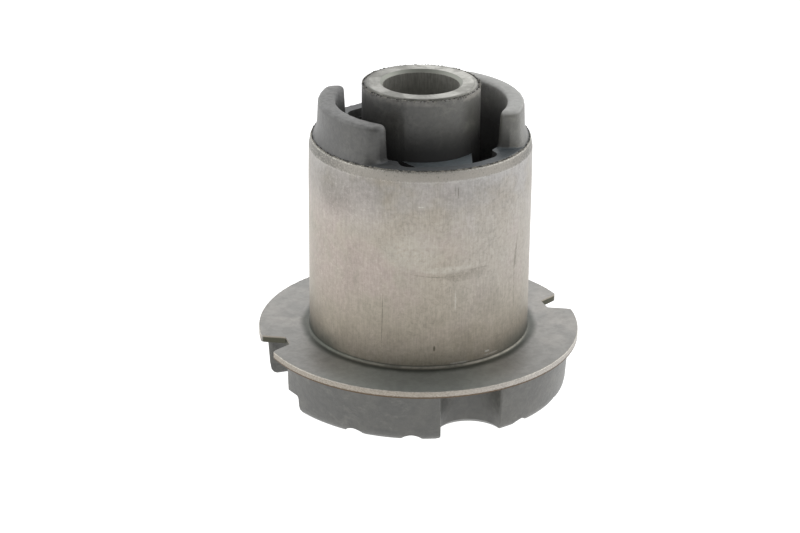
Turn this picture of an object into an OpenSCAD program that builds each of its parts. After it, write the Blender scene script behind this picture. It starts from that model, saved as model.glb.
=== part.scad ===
// Rubber metal bush with kidney voids, two axial stop horns and a flanged outer sleeve.
// Millimetres. Z is the bush's axis and X runs through the two flange notches and the two horns.
// The origin is at the middle of the inner sleeve's lower end, on which the bush stands.

/* [Inner sleeve] */
// Outside diameter of the inner sleeve
tube_d = 30.6; // [28:0.2:33]
// Diameter of the bolt bore through the inner sleeve
bore_d = 21; // [16:0.5:23]
// Length of the inner sleeve
tube_length = 90; // [86:1:110]
// Chamfer at each mouth of the bore
bore_chamfer = 0.85; // [0.3:0.05:1.5]
// Chamfer round the outside of each end
tube_edge = 0.3; // [0.1:0.05:0.6]

/* [Outer sleeve] */
// Outside diameter that is pressed into the housing
sleeve_d = 62; // [60:0.5:66]
// Wall of the drawn sleeve
sleeve_wall = 2; // [1.2:0.1:2.4]
// Height of the sleeve above the flange's upper face
sleeve_rise = 56.9; // [46:0.1:64]
// How far the radius is drawn in at the upper end
lead_in = 0.5; // [0.2:0.1:1]
// Height of the drawn-in band at the upper end
lead_height = 2.6; // [1.5:0.1:6]
// Rounding of the outer edge at the upper end
lead_edge_radius = 0.55; // [0.2:0.05:0.9]
// Height over which the sleeve runs out to its full diameter
run_out = 9; // [4:0.5:16]
// Height of the flange's upper face above the lower end of the inner sleeve
flange_z = 18; // [16:0.5:24]
// Outside diameter of the flange
flange_d = 90.8; // [88:0.2:100]
// Thickness of the flange
flange_thickness = 2; // [1.4:0.1:2.6]
// Inside radius of the corner between the sleeve and the flange's upper face
foot_radius = 0.8; // [0.4:0.1:2]

/* [Flange notches] */
// Width of a notch at the flange's edge
notch_width = 11.2; // [6:0.1:12]
// Width of a notch at its floor
notch_floor = 5; // [2.5:0.1:5.5]
// Depth of a notch from the flange's edge
notch_depth = 6.4; // [4:0.1:8]
// Rounding at the floor of a notch
notch_floor_radius = 1; // [0.3:0.1:1.2]
// Rounding of a notch's outer corners
notch_mouth_radius = 2.2; // [0.4:0.1:3]

/* [Rubber in the sleeve] */
// Thickness of the rubber skin on the inner sleeve
skin = 1; // [0.6:0.1:1.6]
// Length of bare metal at each end of the inner sleeve
bare_end = 0.4; // [0.2:0.1:1.5]
// Thickness of the rubber that lines the outer sleeve
lining = 2.1; // [0.8:0.1:2.6]
// Gap between the skin and the radial stops
stop_gap = 6.8; // [5:0.1:8]
// Half the angle that a web covers on the skin
web_angle_inside = 38.5; // [30:0.5:42]
// Half the angle that a web covers on the lining
web_angle_outside = 11; // [6:0.5:14]
// Height of the webs' upper face above the flange's upper face
web_rise = 54.5; // [40:0.5:55]
// Height of the webs' lower face above the bumper's lower face
web_recess = 7.8; // [2:0.1:10]
// Rounding between a web and the lining
web_root_radius = 2.5; // [1:0.1:3]
// Angle that a radial stop's end faces make with the line through both stops
stop_end_angle = 79; // [70:0.5:88]
// Rounding of a radial stop where it leaves the lining
stop_root_radius = 3; // [1.5:0.1:4]
// Rounding of a radial stop's free corners
stop_edge_radius = 1.2; // [0.5:0.1:1.5]

/* [Rim on the sleeve] */
// Height of the rim above the sleeve's upper end
rim_height = 0.35; // [0.3:0.05:1.5]
// How far the rim's outer face stays inside the rounding of the sleeve's upper edge
rim_setback = 0.05; // [0:0.05:0.4]
// Drop of the rim's upper face towards the middle
rim_drop = 0.2; // [0.05:0.05:0.25]
// Width of the bevel along the rim's outer edge
rim_bevel = 0.15; // [0.05:0.05:0.25]

/* [Horns] */
// Height of the horns above the sleeve's upper end
horn_rise = 10.4; // [8:0.2:14]
// Distance from the sleeve's upper edge in to a horn's outer face
horn_inset = 2.15; // [1.8:0.05:2.6]
// How much wider a horn's outer face stands at the top of its flare
horn_draft = 0.25; // [0.1:0.05:0.5]
// How much a horn's inner face leans back between its foot and its top
horn_lean = 0.5; // [0.1:0.05:0.8]
// Height of the flare at the foot of a horn's outer face
flare_height = 4.6; // [2.5:0.1:5]
// Rounding of a horn's upper edges
horn_edge_radius = 1; // [0.5:0.1:1.2]
// Rounding of the upper edge at a horn's two ends
horn_end_radius = 1.6; // [0.8:0.1:2]
// Rounding of a horn's outer corners, seen from above
horn_outer_corner = 3.4; // [1.8:0.1:4]
// Rounding of a horn's inner corners, seen from above
horn_inner_corner = 1.3; // [1.25:0.05:1.6]
// Rounding at the foot of a horn's ends
horn_foot_radius = 1.2; // [0.6:0.1:1.2]
// Angle that a horn's end faces make with the line through both horns
horn_end_angle = 18.3; // [10:0.1:26]
// Distance from the bush's axis to a horn's end face
horn_end_distance = 12.2; // [10:0.1:13]

/* [Bumper] */
// Distance from the flange's edge in to the top of the bumper's outer face
bumper_setback = 2.3; // [2:0.1:5]
// How much narrower the bumper's outer face stands at the lower edge
bumper_draft = 0.8; // [0.2:0.1:1.5]
// Gap between the bumper's lower face and the lower end of the inner sleeve
bumper_gap = 1.2; // [0.5:0.1:4]
// Rounding of the bumper's lower edge
bumper_edge_radius = 3; // [0.6:0.1:4]
// Diameter of the four scallops
scallop_d = 17; // [12:0.5:18]
// Distance of the scallops' centres inside the top of the bumper's outer face
scallop_inset = 2.1; // [0.5:0.1:2.5]
// Rounding of a scallop's two mouth edges
scallop_edge_radius = 1.2; // [0.4:0.1:2]
// Bevel of a scallop's lower edge
scallop_bevel = 1.2; // [0.4:0.1:2]
// Half the angle of the shoulder at each flange notch
shoulder_angle = 18.4; // [15:0.2:20]
// Height of the shoulders above the bumper's lower face
shoulder_rise = 6; // [2:0.5:9]
// Width of a groove in the bumper's lower face
groove_width = 6.4; // [3:0.2:7]
// Depth of a groove
groove_depth = 2.1; // [0.5:0.1:2.5]
// Angle between neighbouring grooves
groove_pitch = 22.5; // [20:0.5:24]

/* [Hidden] */
$fn = 96;

// Overrun of a cutting tool past the face that it cuts
past = 1;
// How far a horn stays inside the walls of the stop and the rim below it
seam = 0.05;
// How far a stop reaches past the foot of its horn
stop_margin = 0.2;
// Bevel of the bumper's inner edge, and rounding of the shoulders' corners
bumper_inner_bevel = 0.8;
shoulder_radius = 1;
// Steps in a small rounding and in a long arc of the rubber
small_steps = 4;
long_steps = 10;

tube_r = tube_d / 2;
skin_r = tube_r + skin;
stop_r = skin_r + stop_gap;
sleeve_r = sleeve_d / 2;
inside_r = sleeve_r - sleeve_wall;
lining_r = inside_r - lining;
bond_r = (lining_r + inside_r) / 2;
top_r = sleeve_r - lead_in;
flange_r = flange_d / 2;
bumper_r = flange_r - bumper_setback;
scallop_r = scallop_d / 2;
scallop_pitch = bumper_r - scallop_inset;
flange_bottom = flange_z - flange_thickness;
sleeve_top = flange_z + sleeve_rise;
bend_radius = foot_radius + sleeve_wall;
bumper_round_r = bumper_r - bumper_draft - bumper_edge_radius;
bumper_bottom = bumper_gap;
web_bottom = bumper_bottom + web_recess;
web_top = flange_z + web_rise;
rim_r = top_r - lead_edge_radius - rim_setback;
rim_top = sleeve_top + rim_height;
well_floor = rim_top - rim_drop;
horn_r = top_r - horn_inset;
horn_top = sleeve_top + horn_rise;
flare_width = rim_r - horn_r - horn_draft;
flare_radius = (flare_width * flare_width + flare_height * flare_height) / (2 * flare_width);
foot_z = min(well_floor, rim_top - rim_bevel);
horn_start = (sleeve_top + foot_z) / 2;
shoulder_z = bumper_bottom + shoulder_rise;
groove_r = (groove_width * groove_width / 4 + groove_depth * groove_depth) / (2 * groove_depth);

// Point at radius r and angle a
function polar(r, a) = [r * cos(a), r * sin(a)];
// Points along an arc round c
function arc(c, r, from, to, steps) = [for (i = [0 : steps]) c + polar(r, from + (to - from) * i / steps)];
// The same points mirrored across the X axis, in reverse order
function mirrored(points) = [for (i = [len(points) - 1 : -1 : 0]) [points[i][0], -points[i][1]]];
// An angle brought between -180 and 180 degrees
function wrapped(a) = a > 180 ? a - 360 : a < -180 ? a + 360 : a;
function unit(v) = v / norm(v);
function heading(v) = atan2(v[1], v[0]);
// Points of the rounding of radius r at corner p, between its neighbours before and after
function rounded(before, p, after, r) =
    let (u = unit(before - p), w = unit(after - p), half = acos(u * w) / 2)
    let (c = p + unit(u + w) * r / sin(half))
    let (from = heading(p + u * r / tan(half) - c), to = heading(p + w * r / tan(half) - c))
    arc(c, r, from, from + wrapped(to - from), small_steps);

// Half section of the drawn sleeve with its flange, radius against height
function sleeve_section() = concat(
    [[inside_r, sleeve_top], [inside_r, flange_bottom + bend_radius]],
    arc([inside_r + bend_radius, flange_bottom + bend_radius], bend_radius, 180, 270, small_steps),
    [[flange_r, flange_bottom], [flange_r, flange_z]],
    arc([sleeve_r + foot_radius, flange_z + foot_radius], foot_radius, 270, 180, small_steps),
    [[sleeve_r, sleeve_top - lead_height - run_out],
     [top_r + lead_in / 2, sleeve_top - lead_height]],
    arc([top_r - lead_edge_radius, sleeve_top - lead_edge_radius], lead_edge_radius, 0, 90, small_steps)
);

module notch() {
    mouth_angle = asin(notch_width / 2 / flange_r);
    mouth = polar(flange_r, mouth_angle);
    floor_corner = [flange_r - notch_depth, notch_floor / 2];
    mouth_arc = rounded(floor_corner, mouth, mouth + polar(notch_width, mouth_angle + 90), notch_mouth_radius);
    side = concat(
        rounded([floor_corner[0], 0], floor_corner, mouth, notch_floor_radius),
        mouth_arc,
        [[flange_r + past, mouth_arc[small_steps][1]]]
    );
    translate([0, 0, flange_bottom - past])
    linear_extrude(flange_thickness + 2 * past)
    polygon(concat(side, mirrored(side)));
}

module outer_sleeve() {
    color("#aaa59c")
    difference() {
        rotate_extrude() polygon(sleeve_section());
        notch();
        rotate(180) notch();
    }
}

module inner_sleeve() {
    color("#b9b8b2")
    rotate_extrude()
    polygon([
        [bore_d / 2, bore_chamfer],
        [bore_d / 2 + bore_chamfer, 0],
        [tube_r - tube_edge, 0],
        [tube_r, tube_edge],
        [tube_r, tube_length - tube_edge],
        [tube_r - tube_edge, tube_length],
        [bore_d / 2 + bore_chamfer, tube_length],
        [bore_d / 2, tube_length - bore_chamfer]
    ]);
}

// Point on the circle of radius r round the axis, d away from the line through the axis at angle a
function at_distance(r, d, a) = polar(sqrt(r * r - d * d), a) + polar(d, a + 90);

// Half section of the lining with the rim above it and the bumper below it
function jacket_section() = concat(
    [[lining_r, bumper_bottom + bumper_inner_bevel], [lining_r + bumper_inner_bevel, bumper_bottom]],
    arc([bumper_round_r, bumper_bottom + bumper_edge_radius], bumper_edge_radius, 270, 360, small_steps),
    [[bumper_r, flange_bottom]],
    arc([inside_r + bend_radius, flange_bottom + bend_radius], bend_radius, 270, 180, small_steps),
    [[inside_r, sleeve_top], [rim_r, sleeve_top], [rim_r, rim_top - rim_bevel]],
    [[rim_r - rim_bevel, rim_top], [lining_r, well_floor]]
);

// Cut across the bumper that leaves a shoulder at each flange notch, with rounded corners
module shoulder_cut() {
    half = bumper_r * sin(shoulder_angle);
    reach = half + shoulder_radius + past;
    edge = [half, bumper_bottom];
    side = concat(
        [[reach, bumper_bottom - past], [reach, bumper_bottom]],
        rounded([reach, bumper_bottom], edge, [half, shoulder_z], shoulder_radius),
        rounded(edge, [half, shoulder_z], [0, shoulder_z], shoulder_radius)
    );
    rotate([90, 0, 90])
    translate([0, 0, -flange_r])
    linear_extrude(2 * flange_r)
    polygon(concat(side, [for (i = [len(side) - 1 : -1 : 0]) [-side[i][0], side[i][1]]]));
}

// Scallop along +X through the bumper, with its mouth edges rounded into the bumper's outer face
module scallop() {
    rounding_r = bumper_r - scallop_edge_radius;
    reach = scallop_r + scallop_edge_radius;
    rounding_x = (rounding_r * rounding_r - reach * reach + scallop_pitch * scallop_pitch) / (2 * scallop_pitch);
    rounding = [rounding_x, sqrt(rounding_r * rounding_r - rounding_x * rounding_x)];
    to_scallop = heading([scallop_pitch, 0] - rounding);
    mouth = arc(rounding, scallop_edge_radius, to_scallop, heading(rounding), small_steps);
    outside = polar(flange_r + past, heading(rounding));
    translate([0, 0, bumper_bottom - past])
    linear_extrude(flange_bottom - bumper_bottom + past) {
        translate([scallop_pitch, 0]) circle(r = scallop_r);
        polygon(concat([[scallop_pitch, 0]], mouth, [outside], mirrored(concat(mouth, [outside]))));
    }
    translate([scallop_pitch, 0, bumper_bottom - past])
    cylinder(r1 = scallop_r + scallop_bevel + past, r2 = scallop_r - past, h = scallop_bevel + 2 * past);
}

module groove() {
    translate([lining_r - past, 0, bumper_bottom + groove_depth - groove_r])
    rotate([0, 90, 0])
    cylinder(r = groove_r, h = bumper_r - lining_r + 2 * past);
}

module jacket() {
    difference() {
        rotate_extrude() polygon(jacket_section());
        shoulder_cut();
        for (a = [0 : 90 : 270])
            rotate(a)
            scallop();
        for (side = [90, 270], step = [-2, -1, 1, 2])
            rotate(side + step * groove_pitch)
            groove();
    }
}

// Rounding of radius r into the lining, for a wall that runs out from point p in direction a
function root_fillet(p, a, r) =
    let (centre = at_distance(lining_r - r, p * polar(1, a + 90) + r, a))
    arc(centre, r, a - 90, heading(centre), small_steps);

// Block along +X between the webs' lower face and height top, from its side's points out into the lining
module block(side, top) {
    reach = heading(side[len(side) - 1]);
    translate([0, 0, web_bottom])
    linear_extrude(top - web_bottom)
    polygon(concat(side, arc([0, 0], bond_r, reach, -reach, long_steps), mirrored(side)));
}

// One web along +X, waisted towards the lining and rounded into it
module web() {
    inner = polar(skin_r, web_angle_inside);
    wall = heading(polar(lining_r, web_angle_outside) - inner);
    block(concat([inner - polar(skin, wall)], root_fillet(inner, wall, web_root_radius)), web_top);
}

// One radial stop along +X, which carries a horn
module radial_stop() {
    corner_angle = 90 + horn_end_angle - acos((horn_end_distance + horn_foot_radius + stop_margin) / stop_r);
    corner = polar(stop_r, corner_angle);
    root = root_fillet(corner, stop_end_angle, stop_root_radius);
    along = corner + polar(2 * stop_edge_radius, corner_angle - 90);
    edge = rounded(along, corner, root[0], stop_edge_radius);
    half_step = heading(edge[0]) / (2 * long_steps + 1);
    face = [for (i = [0 : long_steps - 1]) polar(stop_r, (2 * i + 1) * half_step)];
    block(concat(face, edge, root), well_floor);
}

// How far a rounding of radius r has drawn in at height h above its start
function drawn_in(r, h) = h <= 0 ? 0 : r - sqrt(max(r * r - h * h, 0));

// Long side of a horn's outline at radius r, between its two corner roundings
function horn_side(r, corner) =
    let (a = heading(corner[0]), middle = arc([0, 0], r, -a, a, long_steps))
    concat(mirrored(corner), [for (i = [1 : long_steps - 1]) middle[i]], corner);

// Outline of a horn at height z: its outer side, then its inner side in reverse order
function horn_ring(z) =
    let (h = max(z - foot_z, 0))
    let (flare = flare_radius - sqrt(pow(flare_radius, 2) - pow(max(flare_height - h, 0), 2)))
    let (draft = horn_draft * min(1, (horn_top - z) / (horn_top - foot_z - flare_height)))
    let (lean = horn_lean * h / (horn_top - foot_z))
    let (foot = drawn_in(horn_foot_radius, horn_foot_radius - h))
    let (crown = drawn_in(horn_edge_radius, z - horn_top + horn_edge_radius))
    let (end_crown = drawn_in(horn_end_radius, z - horn_top + horn_end_radius))
    let (outer_r = horn_r + draft + flare - crown - seam, inner_r = stop_r + lean + crown + seam)
    let (end = horn_end_distance + foot - end_crown)
    let (outer_round = horn_outer_corner + foot - end_crown / 2, inner_round = horn_inner_corner - crown)
    let (outer = at_distance(outer_r - outer_round, end - outer_round, horn_end_angle))
    let (inner = at_distance(inner_r + inner_round, end - inner_round, horn_end_angle))
    let (outer_corner = arc(outer, outer_round, heading(outer), horn_end_angle + 90, small_steps))
    let (inner_corner = arc(inner, inner_round, heading(inner) + 180, horn_end_angle + 90, small_steps))
    let (inner_side = horn_side(inner_r, inner_corner))
    let (outline = concat(horn_side(outer_r, outer_corner), [for (i = [len(inner_side) - 1 : -1 : 0]) inner_side[i]]))
    [for (p = outline) [p[0], p[1], z]];

// One horn along +X, lofted through its outlines from inside the rim to the crown
module horn() {
    foot_levels = [for (i = [1 : small_steps]) foot_z + horn_foot_radius * (1 - cos(90 * i / small_steps))];
    flare_rise = flare_height - horn_foot_radius;
    flare_levels = [for (i = [1 : small_steps]) foot_z + horn_foot_radius + flare_rise * i / small_steps];
    crown_levels = [for (i = [0 : small_steps]) horn_top - horn_end_radius * (1 - sin(90 * i / small_steps))];
    levels = concat([horn_start], foot_levels, flare_levels, crown_levels);
    rings = [for (z = levels) horn_ring(z)];
    count = len(rings[0]);
    top = (len(levels) - 1) * count;
    walls = [
        for (i = [0 : len(levels) - 2], j = [0 : count - 1])
        let (a = i * count + j, b = i * count + (j + 1) % count)
        each [[a, a + count, b + count], [a, b + count, b]]
    ];
    caps = [
        for (j = [0 : count / 2 - 2])
        let (strip = [j, j + 1, count - 2 - j, count - 1 - j])
        each [strip, [for (i = [3 : -1 : 0]) top + strip[i]]]
    ];
    polyhedron([for (ring = rings, p = ring) p], concat(walls, caps), convexity = 4);
}

module rubber_body() {
    color("#4b4d4e")
    difference() {
        union() {
            jacket();
            for (a = [90, 270])
                rotate(a) web();
            for (a = [0, 180])
                rotate(a) {
                    radial_stop();
                    horn();
                }
            translate([0, 0, bare_end]) cylinder(r = skin_r, h = tube_length - 2 * bare_end);
        }
        translate([0, 0, -past]) cylinder(r = tube_r, h = tube_length + 2 * past);
    }
}

outer_sleeve();
inner_sleeve();
rubber_body();
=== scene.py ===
"""Studio scene of a rubber metal bush: drawn outer sleeve, turned inner sleeve and moulded rubber.

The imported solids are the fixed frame. The two steel sleeves are lathed again from their half
sections by one Geometry Nodes tree, the moulded rubber is a smoothed copy of its solid, and the
ragged flash and burrs that follow the round edges are swept by a second tree. Sizes are in metres
unless a class states millimetres, in the row's own frame: Z is the bush's axis and X runs through
the notches and horns.
"""

from __future__ import annotations

import functools
import logging
import math
from dataclasses import dataclass
from enum import Enum
from typing import Any, Callable, Iterable, Sequence, Union

import bmesh
import bpy
from bpy.types import ID, Material, Mesh, Node, NodeTree, Object
from bpy.types import NodeSocket as Socket
from mathutils import Matrix, Vector

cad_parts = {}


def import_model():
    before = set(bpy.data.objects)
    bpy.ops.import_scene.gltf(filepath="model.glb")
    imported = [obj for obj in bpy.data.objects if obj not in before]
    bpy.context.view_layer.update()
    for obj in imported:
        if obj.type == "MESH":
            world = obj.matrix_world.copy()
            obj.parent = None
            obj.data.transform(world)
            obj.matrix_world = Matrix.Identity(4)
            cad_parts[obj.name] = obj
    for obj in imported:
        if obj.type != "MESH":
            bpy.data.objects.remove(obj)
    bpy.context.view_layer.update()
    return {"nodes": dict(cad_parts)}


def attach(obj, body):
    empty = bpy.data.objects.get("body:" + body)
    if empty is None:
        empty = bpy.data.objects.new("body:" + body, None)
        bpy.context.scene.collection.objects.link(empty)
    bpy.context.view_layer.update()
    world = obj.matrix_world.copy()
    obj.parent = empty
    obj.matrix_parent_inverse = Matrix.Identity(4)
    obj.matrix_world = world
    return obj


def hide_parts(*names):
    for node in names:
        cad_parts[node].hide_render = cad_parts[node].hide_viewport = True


LOG = logging.getLogger("bush")
MM = 0.001
UNCUT = 1.0
BODY = "root"

Number = Union[int, float]
Colour = tuple[float, float, float]
Point = tuple[float, float, float]
Section = list[tuple[float, float]]


def add_object(name: str, data: ID) -> Object:
    """Adds an object to the scene.

    Args:
        name: The object's name.
        data: Its mesh, light or camera.

    Returns:
        The object.
    """
    added = bpy.data.objects.new(name, data)
    bpy.context.scene.collection.objects.link(added)
    return added


def srgb(*levels: Number) -> Colour:
    """Linear colour of an 8-bit screen colour, given as its red, green and blue."""
    shares = (level / 255 for level in levels)
    return tuple(c / 12.92 if c <= 0.04045 else ((c + 0.055) / 1.055) ** 2.4 for c in shares)


def math_method(operation: str, mirrored: bool = False) -> Callable[..., "Value"]:
    """Makes a method of Value that adds one Math node.

    Args:
        operation: The node's operation.
        mirrored: Whether the value comes after the other operand.

    Returns:
        The method, which takes the node's other operands and returns its output.
    """

    def method(value: "Value", *others: Any) -> "Value":
        """Adds the node and returns its output."""
        operands = (*others, value) if mirrored else (value, *others)
        return value.maker.value("ShaderNodeMath", {"operation": operation}, *operands)

    return method


@dataclass(frozen=True)
class Value:
    """A float socket of a node tree that adds a Math node for each operator used on it."""

    maker: "NodeMaker"
    socket: Socket

    __add__ = __radd__ = math_method("ADD")
    __sub__ = math_method("SUBTRACT")
    __rsub__ = math_method("SUBTRACT", mirrored=True)
    __mul__ = __rmul__ = math_method("MULTIPLY")
    __truediv__ = math_method("DIVIDE")
    __pow__ = math_method("POWER")
    __abs__ = math_method("ABSOLUTE")
    sine = math_method("SINE")
    cosine = math_method("COSINE")
    floor = math_method("FLOOR")
    modulo = math_method("FLOORED_MODULO")
    least = math_method("MINIMUM")
    most = math_method("MAXIMUM")
    smooth_least = math_method("SMOOTH_MIN")
    smooth_most = math_method("SMOOTH_MAX")
    above = math_method("GREATER_THAN")
    arctan2 = math_method("ARCTAN2")

    def ramp(self, start: Number, end: Number) -> "Value":
        """Smooth step from 0 at start to 1 at end.

        Args:
            start: The value at which the step starts, which may be the higher one.
            end: The value at which the step is complete.

        Returns:
            The step, between 0 and 1.
        """
        low, high = min(start, end), max(start, end)
        out = (0.0, 1.0) if start <= end else (1.0, 0.0)
        smooth = {"interpolation_type": "SMOOTHSTEP"}
        return self.maker.value("ShaderNodeMapRange", smooth, self, low, high, *out)

    def line(self, centre: Any, half_width: Number) -> "Value":
        """1 at the centre, falling smoothly to 0 at half a width on either side."""
        return abs(self - centre).ramp(half_width, 0.0)


@dataclass(frozen=True)
class Noise:
    """Settings of a fractal noise."""

    scale: float
    detail: float = 3.0
    roughness: float = 0.55
    distortion: float = 0.0


class NodeMaker:
    """Adds nodes to one node tree, of a material or of Geometry Nodes."""

    def __init__(self, tree: NodeTree) -> None:
        """Keeps the tree that the nodes go to."""
        self.tree = tree

    def node(
        self, kind: str, settings: dict[str, Any] | None = None, *values: Any, **named: Any
    ) -> Node:
        """Adds one node, sets it up and links its inputs.

        Args:
            kind: The node's type.
            settings: Its properties, which are set before its inputs.
            values: Numbers, colours, sockets or values for its inputs in order. None leaves one alone.
            named: The same for inputs by name, with underscores for spaces.

        Returns:
            The new node.
        """
        node = self.tree.nodes.new(kind)
        for name, setting in (settings or {}).items():
            setattr(node, name, setting)
        sockets = [s for s in node.inputs if s.enabled]
        for socket, value in zip(sockets, values):
            self.feed(socket, value)
        for name, value in named.items():
            self.feed(next(s for s in sockets if s.name == name.replace("_", " ")), value)
        return node

    def value(self, kind: str, settings: dict[str, Any] | None = None, *values: Any, **named: Any) -> Value:
        """Adds one node and returns its first enabled output as a value."""
        node = self.node(kind, settings, *values, **named)
        return Value(self, next(s for s in node.outputs if s.enabled))

    def noise(self, noise: Noise, place: Any) -> Value:
        """Fractal noise between 0 and 1 at the given coordinates."""
        values = place, noise.scale, noise.detail, noise.roughness, None, noise.distortion
        return self.value("ShaderNodeTexNoise", {"noise_dimensions": "3D"}, *values)

    def feed(self, socket: Socket, value: Any) -> None:
        """Sets an input to a number or colour, or links it to an output.

        Args:
            socket: The input.
            value: The number, colour, socket or value, or None to leave the input alone.
        """
        if value is None:
            return
        if isinstance(value, Value):
            value = value.socket
        if isinstance(value, Socket):
            self.tree.links.new(value, socket)
        elif socket.type == "RGBA" and len(value) == 3:
            socket.default_value = (*value, 1.0)
        else:
            socket.default_value = value


class Paint(NodeMaker):
    """Node maker of one material, with the patterns that the finishes share."""

    # Tone, roughness and specular level of the black, matte layer of painted shade.
    PAINTED_SHADE_TONE: Colour = (0.05, 0.05, 0.05)
    PAINTED_SHADE_ROUGHNESS = 0.9
    PAINTED_SHADE_SPECULAR = 0.1

    def __init__(self, name: str) -> None:
        """Starts an empty material.

        Args:
            name: The material's name.
        """
        self.material = bpy.data.materials.new(name)
        self.material.use_nodes = True
        super().__init__(self.material.node_tree)
        self.tree.nodes.clear()
        coordinates = self.node("ShaderNodeTexCoord")
        self.place = coordinates.outputs["Object"]
        axes = self.node("ShaderNodeSeparateXYZ", None, self.place)
        self.x, self.y, self.z = (Value(self, axes.outputs[i]) for i in range(3))
        self.radius = (self.x * self.x + self.y * self.y) ** 0.5
        self.angle = self.y.arctan2(self.x)
        facing = self.node("ShaderNodeSeparateXYZ", None, coordinates.outputs["Normal"])
        self.up = Value(self, facing.outputs[2])

    def stretched(self, scale: Point, turn: Number = 0.0) -> Socket:
        """Object coordinates turned about Z and scaled along each axis."""
        mapping = self.node("ShaderNodeMapping", None, self.place, None, (0.0, 0.0, turn), scale)
        return mapping.outputs["Vector"]

    def around(self, per_metre: Number) -> Socket:
        """Coordinates that follow a round wall, with so many units to a metre of height."""
        cosine, sine = self.angle.cosine(), self.angle.sine()
        return self.node("ShaderNodeCombineXYZ", None, cosine, sine, self.z * per_metre).outputs["Vector"]

    def towards(self, degrees: Number) -> Value:
        """1 on the side of the axis that the given direction points to, down to -1 on the far side."""
        turn = math.radians(degrees)
        return (self.x * math.cos(turn) + self.y * math.sin(turn)) / self.radius.most(MM)

    def mix(self, factor: Any, first: Any, second: Any) -> Socket:
        """Mixes two colours, with as much of the second one as the factor says."""
        settings = {"data_type": "RGBA", "clamp_factor": True}
        return self.value("ShaderNodeMix", settings, factor, first, second).socket

    def shade(self, colour: Any, factor: Any) -> Socket:
        """A colour made lighter or darker by a value of about 1."""
        node = self.node("ShaderNodeVectorMath", {"operation": "SCALE"}, colour, Scale=factor)
        return node.outputs["Vector"]

    def surface(
        self,
        colour: Any,
        roughness: Any,
        metallic: Any = 0.0,
        height: Any = None,
        depth: Number = 0.0,
        painted_shade: Any = None,
        **inputs: Any,
    ) -> Material:
        """Ends the material in a Principled shader.

        Args:
            colour: Base colour.
            roughness: Roughness.
            metallic: Metallic.
            height: Relief between 0 and 1, or None for a plain surface.
            depth: Depth of the relief in metres.
            painted_shade: How much of a black, matte layer of painted shade lies over the surface, or None
                for no such layer.
            inputs: More of the shader's inputs by name, with underscores for spaces.

        Returns:
            The finished material.
        """
        inputs |= {"Base_Color": colour, "Roughness": roughness, "Metallic": metallic}
        shader = self.node("ShaderNodeBsdfPrincipled", **inputs)
        if height is not None:
            bump = self.node("ShaderNodeBump", Strength=1.0, Distance=depth, Height=height)
            self.feed(shader.inputs["Normal"], bump.outputs["Normal"])
        last = shader.outputs["BSDF"]
        # Painted shade: a black, matte layer mixed over the surface as far as the mask says.
        if painted_shade is not None:
            black = self.node(
                "ShaderNodeBsdfPrincipled",
                Base_Color=self.PAINTED_SHADE_TONE,
                Roughness=self.PAINTED_SHADE_ROUGHNESS,
                Specular_IOR_Level=self.PAINTED_SHADE_SPECULAR,
            )
            last = self.node("ShaderNodeMixShader", None, painted_shade, last, black.outputs["BSDF"]).outputs[0]
        output = self.node("ShaderNodeOutputMaterial")
        self.tree.links.new(last, output.inputs["Surface"])
        return self.material


@dataclass(frozen=True)
class Mark:
    """A scratch, dent or fleck on the sleeve's wall, seen square on, in millimetres and degrees."""

    degrees: float
    height: float
    half_width: float
    half_height: float
    weight: float
    lean: float = 0.0
    bow: float = 0.0

    def mask(self, paint: Paint, radius: float, ragged: Value) -> Value:
        """How much of the mark there is at each point.

        Args:
            paint: The material's maker.
            radius: Radius of the wall in metres.
            ragged: Noise between 0 and 1 that breaks up the mark's outline.

        Returns:
            The mask, between 0 and the mark's weight.
        """
        turn = math.radians(self.degrees)
        across = paint.y * math.cos(turn) - paint.x * math.sin(turn)
        along = paint.z - self.height * MM
        if self.lean:
            across = across - along * self.lean
        if self.bow:
            along = along - across * across * self.bow
        facing = (paint.x * math.cos(turn) + paint.y * math.sin(turn)).above(0.6 * radius)
        apart = (across / (self.half_width * MM)) ** 2.0 + (along / (self.half_height * MM)) ** 2.0
        return (apart + (ragged - 0.5) * 1.6).ramp(1.15, 0.2) * ragged.ramp(0.2, 0.6) * facing * self.weight


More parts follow.
